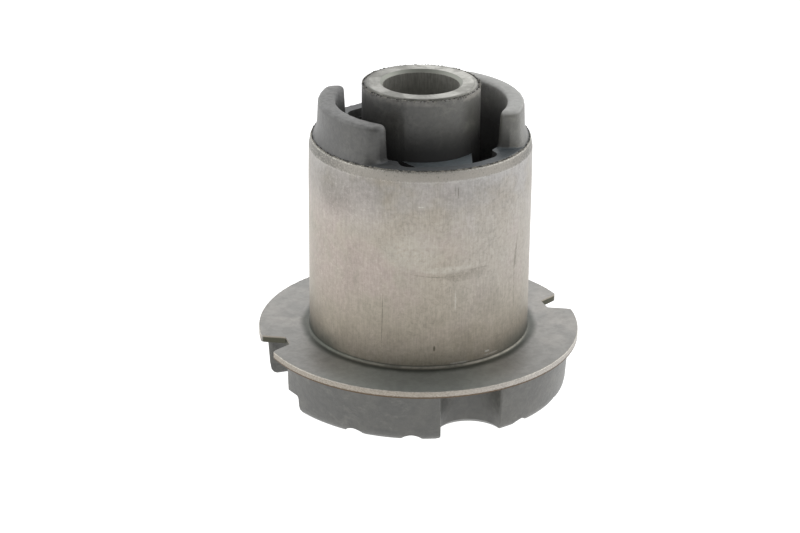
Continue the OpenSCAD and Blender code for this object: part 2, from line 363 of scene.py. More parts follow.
@dataclass(frozen=True)
class DrawnSteel:
    """Matt, mottled steel of the drawn outer sleeve, with its scuffs, band and blanked edge, and with painted
    shade and reflections.
    """

    wall: Colour = srgb(163, 156, 145)
    wall_pink: Colour = srgb(162, 152, 145)
    wall_green: Colour = srgb(148, 143, 133)
    wall_cool: Colour = srgb(164, 162, 160)
    wall_foot: Colour = srgb(140, 133, 120)
    band: Colour = srgb(146, 142, 135)
    band_dark: Colour = srgb(84, 84, 80)
    flange: Colour = srgb(146, 145, 142)
    flange_painted_light: Colour = srgb(176, 172, 167)
    flange_front_reflection: Colour = srgb(157, 162, 160)
    # Painted shade of the corner between wall and flange.
    corner: Colour = srgb(82, 85, 79)
    cut_edge: Colour = srgb(154, 147, 137)
    notch_wall_shade: Colour = srgb(78, 77, 67)
    primer: Colour = srgb(92, 78, 64)
    oxide_and_shade: Colour = srgb(84, 80, 68)
    bright: Colour = srgb(206, 204, 196)
    sleeve_radius: float = 31 * MM
    sleeve_top: float = 74.9 * MM
    band_bottom: float = 72.3 * MM
    flange_top: float = 18 * MM
    flange_radius: float = 45.4 * MM
    notch_zone: float = 36 * MM
    relief: float = 0.05 * MM
    grain: Noise = Noise(1700, 2, 0.7)
    clouds: Noise = Noise(60, 4, 0.6, 0.3)
    blotches: Noise = Noise(130, 4, 0.62, 0.6)
    drawn: Noise = Noise(80, 3, 0.6)
    speckle: Noise = Noise(800, 3, 0.7)
    dark_curls: Noise = Noise(300, 2, 0.5, 1.6)
    light_curls: Noise = Noise(340, 2, 0.5, 1.6)
    stain: Noise = Noise(70, 4, 0.7)
    flecks: Noise = Noise(110, 3, 0.7)
    smoke: Noise = Noise(90, 4, 0.6, 0.4)
    scuffs: Noise = Noise(480, 3, 0.6, 0.6)
    torn: Noise = Noise(90, 4, 0.75)
    ragged: Noise = Noise(900, 2, 0.7)
    dark_marks: tuple[Mark, ...] = (
        Mark(-129, 32, 0.15, 9.5, 0.7, 0.02),
        Mark(-91.2, 69, 0.14, 2.4, 0.8),
        Mark(-92.8, 69.4, 0.12, 1.8, 0.6),
        Mark(-52.4, 46, 0.7, 4.5, 0.5, 0.12),
        Mark(-53, 36, 0.16, 8.5, 0.5, -0.03),
        Mark(-102.4, 24, 0.4, 1, 0.9),
        Mark(-95, 44.9, 12, 0.26, 0.4, 0, 10),
        Mark(-80, 46.2, 3.6, 0.34, 0.35, 0, 12),
        Mark(-158, 66, 9, 8, 0.3),
        Mark(-138, 69, 9, 4.5, 0.2),
        Mark(-84, 68.5, 10, 4, 0.18),
        # Painted shade under the arc of the bowed scratch at -95 degrees.
        Mark(-88, 45, 8, 2, 0.26, 0, 10),
        Mark(-146, 45, 4.5, 9, 0.14),
        Mark(-74, 36, 5, 6, 0.16),
        Mark(-84, 27, 7, 4, 0.18),
        Mark(-122, 26.5, 4.5, 3.5, 0.14),
    )
    light_marks: tuple[Mark, ...] = (
        Mark(-97, 46.8, 9, 1.3, 0.2, 0, 10),
        Mark(-109.9, 65.3, 0.9, 0.18, 0.7),
        Mark(-72.8, 20.7, 1, 0.3, 0.85, 0, 60),
        Mark(-91.8, 37.6, 0.3, 3.4, 0.3),
        Mark(-114, 52, 9, 6, 0.2),
        Mark(-89, 19.1, 3.2, 0.3, 0.6),
        Mark(-70, 19.6, 3, 0.26, 0.5, 0, 20),
    )

    def build(self) -> Material:
        """Makes the material.

        Returns:
            The finished material.
        """
        paint = Paint("drawn_steel")
        grain = paint.noise(self.grain, paint.place)
        clouds = paint.noise(self.clouds, paint.place)
        blotches = paint.noise(self.blotches, paint.stretched((1.0, 1.0, 0.8), 0.7))
        on_wall = paint.radius.ramp(self.sleeve_radius + 0.9 * MM, self.sleeve_radius + 0.3 * MM)
        colour = self._wall(paint, grain, clouds, blotches)
        colour = self._band(paint, colour)
        colour = paint.mix(1.0 - on_wall, colour, self._flange(paint, grain, blotches))
        colour = self._fillet(paint, colour, on_wall, blotches)
        colour = self._edge(paint, colour)
        ragged = paint.noise(self.ragged, paint.place)
        for marks, tone in ((self.dark_marks, self.oxide_and_shade), (self.light_marks, self.bright)):
            masks = (mark.mask(paint, self.sleeve_radius, ragged) for mark in marks)
            colour = paint.mix(functools.reduce(Value.most, masks), colour, tone)
        roughness = 0.36 + clouds * 0.12 + grain * 0.08
        return paint.surface(colour, roughness, 0.9, grain * 0.4 + blotches * 0.6, self.relief)

    def _wall(self, paint: Paint, grain: Value, clouds: Value, blotches: Value) -> Socket:
        """Mottled wall, cooler at the top and browner at the foot, with painted shade at the foot's sides and
        a painted cool reflection on the side towards -55 degrees.

        Args:
            paint: The material's maker.
            grain: Fine grain.
            clouds: Soft clouds.
            blotches: Small blotches.

        Returns:
            The wall's colour.
        """
        drawn = paint.noise(self.drawn, paint.around(3.0)).ramp(0.32, 0.68)
        speckle = paint.noise(self.speckle, paint.place).ramp(0.34, 0.66)
        dark_curls = paint.noise(self.dark_curls, paint.place).line(0.5, 0.035)
        light_curls = paint.noise(self.light_curls, paint.stretched((1.0, 1.0, 1.3), 1.0)).line(0.5, 0.03)
        colour = paint.mix(clouds.ramp(0.42, 0.62), self.wall, self.wall_pink)
        colour = paint.mix(blotches.ramp(0.44, 0.68) * 0.6, colour, self.wall_green)
        high = paint.z.ramp(50 * MM, 74 * MM) * clouds.ramp(0.3, 0.55)
        # Painted reflection: a cooler tone on the side towards -55 degrees.
        cool = high * 0.7 + paint.towards(-55.0).ramp(0.7, 0.95) * 0.3
        colour = paint.mix(cool, colour, self.wall_cool)
        low = paint.z.ramp(48 * MM, 22 * MM) * (0.55 + blotches * 0.6)
        colour = paint.mix(low, colour, self.wall_foot)
        # Painted shade at the wall's foot, stronger at the sides.
        sides = paint.towards(-108.0).ramp(0.9, 0.5)
        foot = paint.z.ramp(25 * MM, 19 * MM) * sides * (0.3 + blotches * 0.8)
        colour = paint.mix(foot, colour, self.corner)
        level = 0.58 + clouds * 0.26 + blotches * 0.26 + drawn * 0.12 + speckle * 0.14 + grain * 0.14
        level = level - dark_curls * clouds.ramp(0.6, 0.4) * 0.12 + light_curls * clouds.ramp(0.4, 0.6) * 0.14
        dimmed = 0.08 + paint.towards(-160.0).ramp(0.6, 0.95) * 0.06
        return paint.shade(colour, level - paint.z.ramp(58 * MM, 66 * MM) * dimmed)

    def _band(self, paint: Paint, colour: Any) -> Socket:
        """Adds the darker, mottled band below the upper end, partly painted shade of its taper, and its pale
        lip.

        Args:
            paint: The material's maker.
            colour: The colour so far.

        Returns:
            The new colour.
        """
        stain = paint.noise(self.stain, paint.around(30.0))
        start = self.band_bottom + (stain - 0.5) * (1.2 * MM)
        band = (paint.z - start).ramp(-0.25 * MM, 0.35 * MM)
        # Painted shade: the band turns darker towards the sides, on top of its mottled spots.
        sides = paint.towards(-104.0).ramp(0.92, 0.4) * stain.ramp(0.68, 0.42)
        tone = paint.mix(stain.ramp(0.4, 0.3).most(sides * 0.8), self.band, self.band_dark)
        colour = paint.mix(band * 0.9, colour, paint.shade(tone, 0.84 + stain * 0.4))
        flecks = paint.noise(self.flecks, paint.around(30.0))
        line = paint.z.line(start - 0.2 * MM, 0.3 * MM) * flecks.ramp(0.45, 0.6)
        lip = paint.z.ramp(self.sleeve_top - 0.5 * MM, self.sleeve_top - 0.2 * MM) * flecks.ramp(0.44, 0.56)
        return paint.mix((lip * 0.7).most(line * 0.35), colour, self.bright)

    def _flange(self, paint: Paint, grain: Value, blotches: Value) -> Socket:
        """Smoky flange with painted reflections, lighter towards the sides and greenish at the front, and
        greenish painted shade in the corner.

        Args:
            paint: The material's maker.
            grain: Fine grain.
            blotches: Small blotches.

        Returns:
            The flange's colour.
        """
        smoke = paint.noise(self.smoke, paint.place)
        front = paint.towards(-112.0)
        # Painted reflection: lighter smoky patches away from the front, and a set greenish tone at the front.
        flat = paint.mix(smoke.ramp(0.3, 0.75) * front.ramp(0.7, 0.1) * 0.7, self.flange, self.flange_painted_light)
        flat = paint.mix(front.ramp(0.72, 1.0), flat, self.flange_front_reflection)
        # Painted shade on the flange in the corner by the wall.
        reach = paint.radius - smoke * 2.4 * MM
        corner = reach.ramp(self.sleeve_radius + 2.2 * MM, self.sleeve_radius)
        flat = paint.mix(corner * 0.85, flat, self.corner)
        scuffs = paint.noise(self.scuffs, paint.place).ramp(0.34, 0.66)
        return paint.shade(flat, 0.87 + grain * 0.1 + blotches * 0.08 + scuffs * 0.14)

    def _fillet(self, paint: Paint, colour: Any, on_wall: Value, blotches: Value) -> Socket:
        """Paints shade into the wall's foot and a thin painted highlight along its front.

        Args:
            paint: The material's maker.
            colour: The colour so far.
            on_wall: 1 on the wall and 0 on the flange.
            blotches: Small blotches.

        Returns:
            The new colour.
        """
        above = paint.z - self.flange_top
        # Painted shade in the fillet.
        dark = above.ramp(1.2 * MM, 0.7 * MM) * on_wall * 0.8
        colour = paint.mix(dark, colour, paint.shade(self.corner, 0.6 + blotches))
        # Painted highlight along the fillet's front.
        line = above.ramp(0.75 * MM, 0.6 * MM) * above.ramp(0.1 * MM, 0.25 * MM) * blotches.ramp(0.36, 0.6)
        return paint.mix(line * paint.towards(-80.0).ramp(0.3, 0.95) * 0.7, colour, self.wall_green)

    def _edge(self, paint: Paint, colour: Any) -> Socket:
        """Adds the blanked edge, painted lighter on the side towards -40 degrees, its primed lower line, and
        painted shade low on the notches' walls.

        Args:
            paint: The material's maker.
            colour: The colour so far.

        Returns:
            The new colour.
        """
        upright = 1.0 - abs(paint.up).ramp(0.35, 0.75)
        torn = paint.noise(self.torn, paint.around(60.0))
        above = paint.z - self.flange_top
        from_edge = self.flange_radius - paint.radius
        # Painted light: the edge is lighter on the side towards -40 degrees.
        edge = paint.mix(paint.towards(-40.0).ramp(0.3, 0.9) * 0.7, self.cut_edge, self.flange_painted_light)
        edge = paint.shade(edge, 0.72 + torn.ramp(0.36, 0.64) * 0.56)
        primed = (above + torn * (0.5 * MM)).ramp(-1.05 * MM, -1.45 * MM)
        edge = paint.mix(primed, edge, self.primer)
        shining = (above + torn * (0.6 * MM)).ramp(0.05 * MM, 0.25 * MM) * 0.7
        edge = paint.mix(shining, edge, self.bright)
        colour = paint.mix(from_edge.ramp(0.22 * MM, 0.05 * MM), colour, edge)
        in_notch = paint.radius.ramp(self.notch_zone, self.notch_zone + MM)
        in_notch = in_notch * from_edge.ramp(0.2 * MM, 0.6 * MM)
        # Painted shade on the lower part of the notches' walls.
        low = (above + torn * (0.4 * MM)).ramp(-0.05 * MM, -0.4 * MM)
        wall = paint.mix(low, self.cut_edge, paint.shade(self.notch_wall_shade, 0.7 + torn * 0.6))
        return paint.mix(in_notch * upright, colour, wall)


@dataclass(frozen=True)
class TurnedSteel:
    """Turned end faces and dull bore of the inner sleeve, painted lighter and darker by side."""

    face: Colour = srgb(182, 181, 175)
    face_dull: Colour = srgb(140, 139, 133)
    bore: Colour = srgb(158, 157, 151)
    chamfer: Colour = srgb(146, 148, 140)
    stain_and_shade: Colour = srgb(96, 96, 90)
    bore_radius: float = 10.5 * MM
    chamfer_radius: float = 11.4 * MM
    outer_radius: float = 15.3 * MM
    relief: float = 0.02 * MM
    clouds: Noise = Noise(180, 4, 0.6, 0.4)
    grain: Noise = Noise(1800, 2, 0.6)
    rings: Noise = Noise(2600, 3, 0.8)
    speckle: Noise = Noise(700, 3, 0.6)
    along: Noise = Noise(40, 4, 0.6)
    drips: Noise = Noise(26, 3, 0.6)

    def build(self) -> Material:
        """Makes the material.

        Returns:
            The finished material.
        """
        paint = Paint("turned_steel")
        clouds = paint.noise(self.clouds, paint.place)
        grain = paint.noise(self.grain, paint.place)
        rings = paint.noise(self.rings, paint.node("ShaderNodeCombineXYZ", None, paint.radius).outputs[0])
        speckle = paint.noise(self.speckle, paint.place).ramp(0.34, 0.66)
        colour = paint.mix(clouds.ramp(0.36, 0.62), self.face, self.face_dull)
        colour = paint.shade(colour, 0.72 + rings * 0.3 + grain * 0.1 + speckle * 0.14)
        from_edge = self.outer_radius - paint.radius
        groove = from_edge.line(0.75 * MM, 0.3 * MM) * clouds.ramp(0.3, 0.5)
        # Painted shade: near the outer edge the face turns darker in cloudy patches on the side away from 50
        # degrees.
        wear_and_painted_light = from_edge.ramp(0.8 * MM, 0.3 * MM) * clouds.ramp(0.6, 0.46)
        wear_and_painted_light = wear_and_painted_light * paint.towards(50.0).ramp(0.6, -0.4)
        colour = paint.mix((groove * 0.45).most(wear_and_painted_light * 0.8), colour, self.stain_and_shade)
        # Painted light: the face is lighter on the side towards 10 degrees.
        colour = paint.shade(colour, 0.86 + paint.towards(10.0).ramp(-0.6, 0.9) * 0.32)
        sloped = paint.radius.ramp(self.chamfer_radius + 0.05 * MM, self.chamfer_radius - 0.1 * MM)
        colour = paint.mix(sloped, colour, paint.shade(self.chamfer, 0.9 + clouds * 0.2))
        inside = paint.radius.ramp(self.bore_radius + 0.1 * MM, self.bore_radius + 0.02 * MM)
        colour = paint.mix(inside, colour, self._bore(paint, speckle))
        roughness = 0.36 + clouds * 0.14 + inside * 0.2
        return paint.surface(colour, roughness, 0.9, rings * 0.5 + grain * 0.5, self.relief)

    def _bore(self, paint: Paint, speckle: Value) -> Socket:
        """Dull bore with drips below its mouth, painted lighter on the side of the viewer.

        Args:
            paint: The material's maker.
            speckle: Fine speckle.

        Returns:
            The bore's colour.
        """
        along = paint.noise(self.along, paint.around(4.0))
        drips = paint.noise(self.drips, paint.around(12.0)).ramp(0.36, 0.66)
        level = 0.62 + along * 0.3 + speckle * 0.12 + drips * paint.z.ramp(80 * MM, 88 * MM) * 0.24
        # Painted light and shade: lighter on the side towards -110 degrees.
        return paint.shade(self.bore, level + paint.towards(-110.0).ramp(-0.2, 0.8) * 0.22)


@dataclass(frozen=True)
class MouldedRubber:
    """Dark grey rubber with a soft sheen and dusty smears, horn crowns lightened by wear and painted light,
    bluish painted reflections on level faces, one side painted lighter, and a black, dull layer of painted
    shade in the well.
    """

    dark: Colour = srgb(54, 54, 50)
    grey: Colour = srgb(69, 68, 62)
    bloom: Colour = srgb(95, 94, 87)
    wear_and_painted_light: Colour = srgb(124, 124, 121)
    bluish_reflection: Colour = srgb(84, 93, 98)
    dark_rim_reflection: Colour = srgb(22, 31, 36)
    collar: Colour = srgb(112, 109, 102)
    rim_radius: float = 26.9 * MM
    rim_bottom: float = 74.6 * MM
    rim_top: float = 76 * MM
    tube_radius: float = 17 * MM
    tube_top: float = 89.5 * MM
    well_top: float = 85 * MM
    well_floor: float = 74 * MM
    horn_top: float = 85.3 * MM
    horn_half: float = 15 * MM
    relief: float = 0.08 * MM
    specular: float = 1.0
    sheen: float = 0.12
    clouds: Noise = Noise(70, 4, 0.6, 0.3)
    smears: Noise = Noise(190, 5, 0.72, 0.4)
    grain: Noise = Noise(600, 3, 0.65)
    torn: Noise = Noise(420, 3, 0.6)

    def build(self) -> Material:
        """Makes the material.

        Returns:
            The finished material.
        """
        paint = Paint("moulded_rubber")
        clouds = paint.noise(self.clouds, paint.place)
        smears = paint.noise(self.smears, paint.stretched((1.0, 1.0, 1.6), 0.4))
        grain = paint.noise(self.grain, paint.place).ramp(0.32, 0.68)
        level = paint.up.ramp(0.55, 0.9)
        colour = paint.mix(clouds.ramp(0.3, 0.7), self.dark, self.grey)
        colour = paint.mix(smears.ramp(0.48, 0.72) * 0.55, colour, self.bloom)
        colour = self._tops(paint, colour, level, smears)
        torn = paint.noise(self.torn, paint.place)
        collar = (paint.z - torn * (1.2 * MM)).ramp(87.2 * MM, 88.2 * MM) * torn.ramp(0.36, 0.56)
        colour = paint.mix(collar * 0.8, colour, self.collar)
        # Painted light: above 60 mm the +X side is lighter and the -X side darker.
        painted_side_light = (paint.x.ramp(-self.horn_half, self.horn_half) - 0.5) * paint.z.ramp(60 * MM, 75 * MM)
        colour = paint.shade(colour, 0.78 + grain * 0.32 + clouds * 0.24 + painted_side_light * 1.2)
        relief = grain * 0.5 + smears * 0.5
        # Painted shade in the well and on the tube's sides.
        painted_shade = self._well(paint, level) * 0.85
        sheen = {"Specular_IOR_Level": self.specular, "Sheen_Weight": self.sheen}
        return paint.surface(colour, 0.4 + smears * 0.14, 0.0, relief, self.relief, painted_shade, **sheen)

    def _tops(self, paint: Paint, colour: Any, level: Value, smears: Value) -> Socket:
        """Paints a bluish tone, mostly painted reflection, on the level faces of webs and rim, and lightens
        the crowns of the horns with wear and painted light.

        Args:
            paint: The material's maker.
            colour: The colour so far.
            level: 1 on level faces and 0 on upright ones.
            smears: Dusty smears.

        Returns:
            The new colour.
        """
        # Painted reflection, mostly: level faces below the rim's top turn bluish, and the rim's own level
        # face nearly black.
        below = level * paint.z.ramp(self.rim_top, self.rim_top - 0.4 * MM)
        colour = paint.mix(below, colour, self.bluish_reflection)
        rim = below * paint.z.ramp(self.rim_bottom, self.rim_bottom + 0.2 * MM)
        colour = paint.mix(rim * 0.85, colour, self.dark_rim_reflection)
        # Wear and painted light: the crowns of the horns, which face up, turn lighter in dusty patches.
        crown = paint.z.ramp(self.horn_top - 1.6 * MM, self.horn_top - 0.3 * MM) * paint.up.ramp(0.2, 0.8)
        crown = crown * paint.z.ramp(self.horn_top + 0.6 * MM, self.horn_top + 0.2 * MM)
        return paint.mix(crown * (0.5 + smears), colour, self.wear_and_painted_light)

    def _well(self, paint: Paint, level: Value) -> Value:
        """How much black painted shade lies on the walls of the voids and on the sides of the tube.

        Args:
            paint: The material's maker.
            level: 1 on level faces and 0 on upright ones.

        Returns:
            The share of the black layer of painted shade.
        """
        inside = paint.radius.ramp(self.rim_radius, self.rim_radius - 0.6 * MM)
        well = inside * (1.0 - level) * paint.z.ramp(self.well_top, self.well_floor)
        on_tube = paint.radius.ramp(self.tube_radius + MM, self.tube_radius)
        on_tube = on_tube * paint.z.ramp(self.tube_top, self.well_top)
        # Painted shade on the tube's sides, strongest away from the front.
        return well.most(paint.towards(-98.0).ramp(0.92, 0.45) * on_tube * 0.55)


@dataclass(frozen=True)
class TornFinish:
    """Flecked, two-toned look of a torn edge."""

    name: str
    tone: Colour
    fleck: Colour
    noise: Noise
    reach: tuple[float, float]
    smoothest: float
    rougher: float
    metallic: float
    relief: float

    def build(self) -> Material:
        """Makes the material.

        Returns:
            The finished material.
        """
        paint = Paint(self.name)
        flecks = paint.noise(self.noise, paint.place)
        colour = paint.mix(flecks.ramp(*self.reach), self.tone, self.fleck)
        roughness = self.smoothest + flecks * self.rougher
        return paint.surface(colour, roughness, self.metallic, flecks, self.relief)


FLASH_TONES = srgb(52, 51, 48), srgb(124, 121, 113)
BURR_TONES = srgb(188, 182, 170), srgb(122, 116, 106)
FLASH = TornFinish("rubber_flash", *FLASH_TONES, Noise(900, 3, 0.7), (0.44, 0.58), 0.6, 0.2, 0.0, 0.1 * MM)
BURR = TornFinish("bright_burr", *BURR_TONES, Noise(700, 3, 0.7), (0.4, 0.62), 0.3, 0.3, 0.5, 0.05 * MM)


@dataclass(frozen=True)
class PaleFloor:
    """Plain white floor that glows a little, as a light table does, with a ring of painted shadow under the
    bush where the glow is dimmed.
    """

    tone: Colour = (0.16, 0.16, 0.16)
    glow: float = 1.15
    lit: Colour = (1.0, 1.0, 1.0)
    dimmed: Colour = (0.02, 0.02, 0.02)
    mottle: Noise = Noise(3, 1)

    def build(self) -> Material:
        """Makes the material.

        Returns:
            The finished material.
        """
        paint = Paint("pale_floor")
        colour = paint.shade(self.tone, 0.99 + paint.noise(self.mottle, paint.place) * 0.01)
        # Painted shadow: the glow is dimmed in a ring under the bush.
        painted_shadow = paint.radius.ramp(12 * MM, 14 * MM) * paint.radius.ramp(30 * MM, 26 * MM)
        light = paint.mix(painted_shadow, self.lit, self.dimmed)
        return paint.surface(colour, 0.9, Emission_Color=light, Emission_Strength=self.glow)


class GeometryTree(NodeMaker):
    """A Geometry Nodes tree with named inputs, which ends in Realize Instances and Set Material."""

    def __init__(self, name: str, inputs: dict[str, float]) -> None:
        """Starts the tree and its named inputs.

        Args:
            name: The tree's name.
            inputs: Default of each number that the tree is given, by name. The material comes after them.
        """
        tree = bpy.data.node_groups.new(name, "GeometryNodeTree")
        super().__init__(tree)
        for way in ("INPUT", "OUTPUT"):
            tree.interface.new_socket("Geometry", in_out=way, socket_type="NodeSocketGeometry")
        self.keys: dict[str, str] = {}
        for label, default in inputs.items():
            item = tree.interface.new_socket(label, in_out="INPUT", socket_type="NodeSocketFloat")
            item.default_value = default
            self.keys[label] = item.identifier
        item = tree.interface.new_socket("Material", in_out="INPUT", socket_type="NodeSocketMaterial")
        self.keys["Material"] = item.identifier
        self.start = self.node("NodeGroupInput")
        self.geometry = self.start.outputs["Geometry"]

    def given(self, label: str) -> Value:
        """The named input as a value."""
        return Value(self, self.start.outputs[label])

    def close(self, geometry: Socket) -> None:
        """Ends the tree in Realize Instances, Set Material and the group's output.

        Args:
            geometry: What the tree has made.
        """
        real = self.node("GeometryNodeRealizeInstances", None, geometry)
        dressed = self.node("GeometryNodeSetMaterial", None, real.outputs[0])
        self.tree.links.new(self.start.outputs["Material"], dressed.inputs["Material"])
        output = self.node("NodeGroupOutput")
        self.tree.links.new(dressed.outputs[0], output.inputs[0])

    def apply(self, name: str, base: Mesh, values: dict[str, Any]) -> Object:
        """Runs the tree on a mesh and keeps the result as a plain mesh.

        Args:
            name: Name of the new object.
            base: The mesh that the tree starts from.
            values: The inputs by name.

        Returns:
            The new object, at the origin and with no modifier.
        """
        carrier = add_object(name + "_base", base)
        modifier = carrier.modifiers.new("shape", "NODES")
        modifier.node_group = self.tree
        for label, value in values.items():
            modifier[self.keys[label]] = value
        bpy.context.view_layer.update()
        depsgraph = bpy.context.evaluated_depsgraph_get()
        mesh = bpy.data.meshes.new_from_object(carrier.evaluated_get(depsgraph), depsgraph=depsgraph)
        bpy.data.objects.remove(carrier)
        mesh.name = name
        return add_object(name, mesh)


class TurnedTree(GeometryTree):
    """A tree that carries a closed half section round Z, a step at a time, and welds the ends."""

    WELD = 1e-7

    def turn(self, segments: Value) -> tuple[Value, Value, Value, Socket]:
        """Lays out the grid of half sections.

        Args:
            segments: Number of steps round the axis.

        Returns:
            Share of the whole turn, radius and height in the half section, and the grid's mesh.
        """
        size = self.node("GeometryNodeAttributeDomainSize", {"component": "MESH"}, self.geometry)
        count = Value(self, size.outputs["Point Count"])
        grid = self.node("GeometryNodeMeshGrid", None, 1.0, 1.0, segments + 1, count + 1)
        index = self.value("GeometryNodeInputIndex")
        step = (index / (count + 1) + 1e-4).floor()
        along = (index - step * (count + 1)).modulo(count)
        place = self.node("GeometryNodeInputPosition").outputs[0]
        settings = {"data_type": "FLOAT_VECTOR", "domain": "POINT"}
        section = self.value("GeometryNodeSampleIndex", settings, self.geometry, place, along)
        axes = self.node("ShaderNodeSeparateXYZ", None, section).outputs
        return step / segments, Value(self, axes[0]), Value(self, axes[2]), grid.outputs["Mesh"]

    def ring(self, grid: Socket, angle: Value, radius: Value, height: Value) -> None:
        """Puts the grid's points round the axis, welds the seam and ends the tree.

        Args:
            grid: The grid's mesh.
            angle: Angle of each point in radians.
            radius: Its distance from the axis.
            height: Its height.
        """
        across = radius * angle.cosine(), radius * angle.sine()
        place = self.node("ShaderNodeCombineXYZ", None, *across, height)
        ring = self.node("GeometryNodeSetPosition", None, grid, None, place.outputs[0])
        welded = self.node("GeometryNodeMergeByDistance", None, ring.outputs[0], Distance=self.WELD)
        self.close(welded.outputs[0])


class LatheTree(TurnedTree):
    """Turns a closed half section about Z, with two notches cut back into whatever is wide enough."""

    LEAST_SLOPE = 1e-3
    LEAST_COSINE = 0.05
    INPUTS = {
        "Segments": 240.0,
        "Crowding": 0.0,
        "Outer Radius": UNCUT,
        "Notch Floor": UNCUT,
        "Notch Half Floor": 2.2 * MM,
        "Notch Half Mouth": 5 * MM,
        "Floor Rounding": 1 * MM,
        "Mouth Rounding": 2 * MM,
    }

    def __init__(self) -> None:
        """Builds the tree."""
        super().__init__("lathe", self.INPUTS)
        share, radius, height, grid = self.turn(self.given("Segments"))
        angle = share * math.tau
        angle = angle - (angle * 2).sine() * self.given("Crowding")
        self.ring(grid, angle, radius.least(self._notched(angle)), height)

    def _notched(self, angle: Value) -> Value:
        """Radius at which a notch cuts the flange.

        Args:
            angle: The angle round the axis.

        Returns:
            The radius, which is the flange's own away from the notches.
        """
        cosine, sine = abs(angle.cosine()), abs(angle.sine())
        floor, half_floor = self.given("Notch Floor"), self.given("Notch Half Floor")
        outer, half_mouth = self.given("Outer Radius"), self.given("Notch Half Mouth")
        mouth = (outer * outer - half_mouth * half_mouth) ** 0.5
        slope = (half_mouth - half_floor) / (mouth - floor)
        wall = (floor * slope - half_floor) / (slope * cosine - sine).most(self.LEAST_SLOPE)
        cut = (floor / cosine.most(self.LEAST_COSINE)).smooth_most(wall, self.given("Floor Rounding"))
        return outer.smooth_least(cut, self.given("Mouth Rounding"))


class RaggedRingTree(TurnedTree):
    """Sweeps a small section round an edge, with its width and place torn by noise.

    Within the gap, a half width on either side of the X axis, the ring sinks into the steel and runs
    behind the notch's floor.
    """

    TEAR = Noise(1, 3, 0.6)
    EASE = 0.8 * MM
    SINK = 0.9 * MM
    INWARD = 8 * MM
    SEED_STEP = 17
    INPUTS = {
        "Segments": 480.0,
        "Radius": 30 * MM,
        "Height": 0.0,
        "Thickness": 0.2 * MM,
        "Wander": 0.2 * MM,
        "Tears": 0.5,
        "Fineness": 40.0,
        "Seed": 1.0,
        "Gap": -1.0,
    }

    def __init__(self) -> None:
        """Builds the tree."""
        super().__init__("ragged_ring", self.INPUTS)
        share, across, up, grid = self.turn(self.given("Segments"))
        angle = share * math.tau
        thick = self._torn(angle, 0.0).ramp(0.3, 0.75)
        size = self.given("Thickness") * (1 - self.given("Tears") + thick * self.given("Tears"))
        aside = (self._torn(angle, 7.0) - 0.5) * self.given("Wander")
        lift = (self._torn(angle, 13.0) - 0.5) * self.given("Wander")
        inside = self.given("Gap") - abs(angle.sine()) * self.given("Radius")
        behind = inside.ramp(self.EASE, 2 * self.EASE) * self.INWARD
        sunk = inside.ramp(0.0, self.EASE) * self.SINK
        radius = self.given("Radius") + aside + across * size - behind
        self.ring(grid, angle, radius, self.given("Height") + lift + up * size - sunk)

    def _torn(self, angle: Value, shift: Number) -> Value:
        """Noise that goes round the edge without a seam.

        Args:
            angle: The angle round the axis.
            shift: Offset that makes this noise differ from the others.

        Returns:
            The noise, between 0 and 1.
        """
        fineness, depth = self.given("Fineness"), self.given("Seed") * self.SEED_STEP + shift
        across = angle.cosine() * fineness, angle.sine() * fineness
        place = self.node("ShaderNodeCombineXYZ", None, *across, depth)
        return self.noise(self.TEAR, place.outputs[0])


def arc(centre: tuple[float, float], radius: float, start: float, end: float, steps: int) -> Section:
    """Points along an arc of a half section, with angles in degrees."""
    angles = [math.radians(start + (end - start) * i / steps) for i in range(steps + 1)]
    return [(centre[0] + radius * math.cos(a), centre[1] + radius * math.sin(a)) for a in angles]


def metres(**lengths: float) -> dict[str, Any]:
    """Values for a tree's inputs, from lengths in millimetres named with underscores for spaces."""
    return {name.replace("_", " "): length * MM for name, length in lengths.items()}


def section_mesh(name: str, points: Sequence[tuple[float, float]]) -> Mesh:
    """Makes a half section in millimetres, radius against height, into a mesh of points.

    Args:
        name: Name of the mesh.
        points: The corners in order.

    Returns:
        The mesh, with each corner as a vertex and an edge to the next.
    """
    mesh = bpy.data.meshes.new(name)
    edges = [(i, (i + 1) % len(points)) for i in range(len(points))]
    mesh.from_pydata([(r * MM, 0.0, z * MM) for r, z in points], edges, [])
    return mesh


def soften(piece: Object, degrees: float, weld: float = 0.0) -> None:
    """Smooths a piece's shading up to an angle and turns its faces outwards.

    Args:
        piece: The piece.
        degrees: Edges that turn more than this stay sharp.
        weld: Distance within which corners are joined first, or 0 for none.
    """
    work = bmesh.new()
    work.from_mesh(piece.data)
    if weld:
        bmesh.ops.remove_doubles(work, verts=work.verts, dist=weld)
    bmesh.ops.recalc_face_normals(work, faces=work.faces)
    work.normal_update()
    for edge in work.edges:
        edge.smooth = edge.calc_face_angle(math.pi) < math.radians(degrees)
    for face in work.faces:
        face.smooth = True
    work.to_mesh(piece.data)
    work.free()


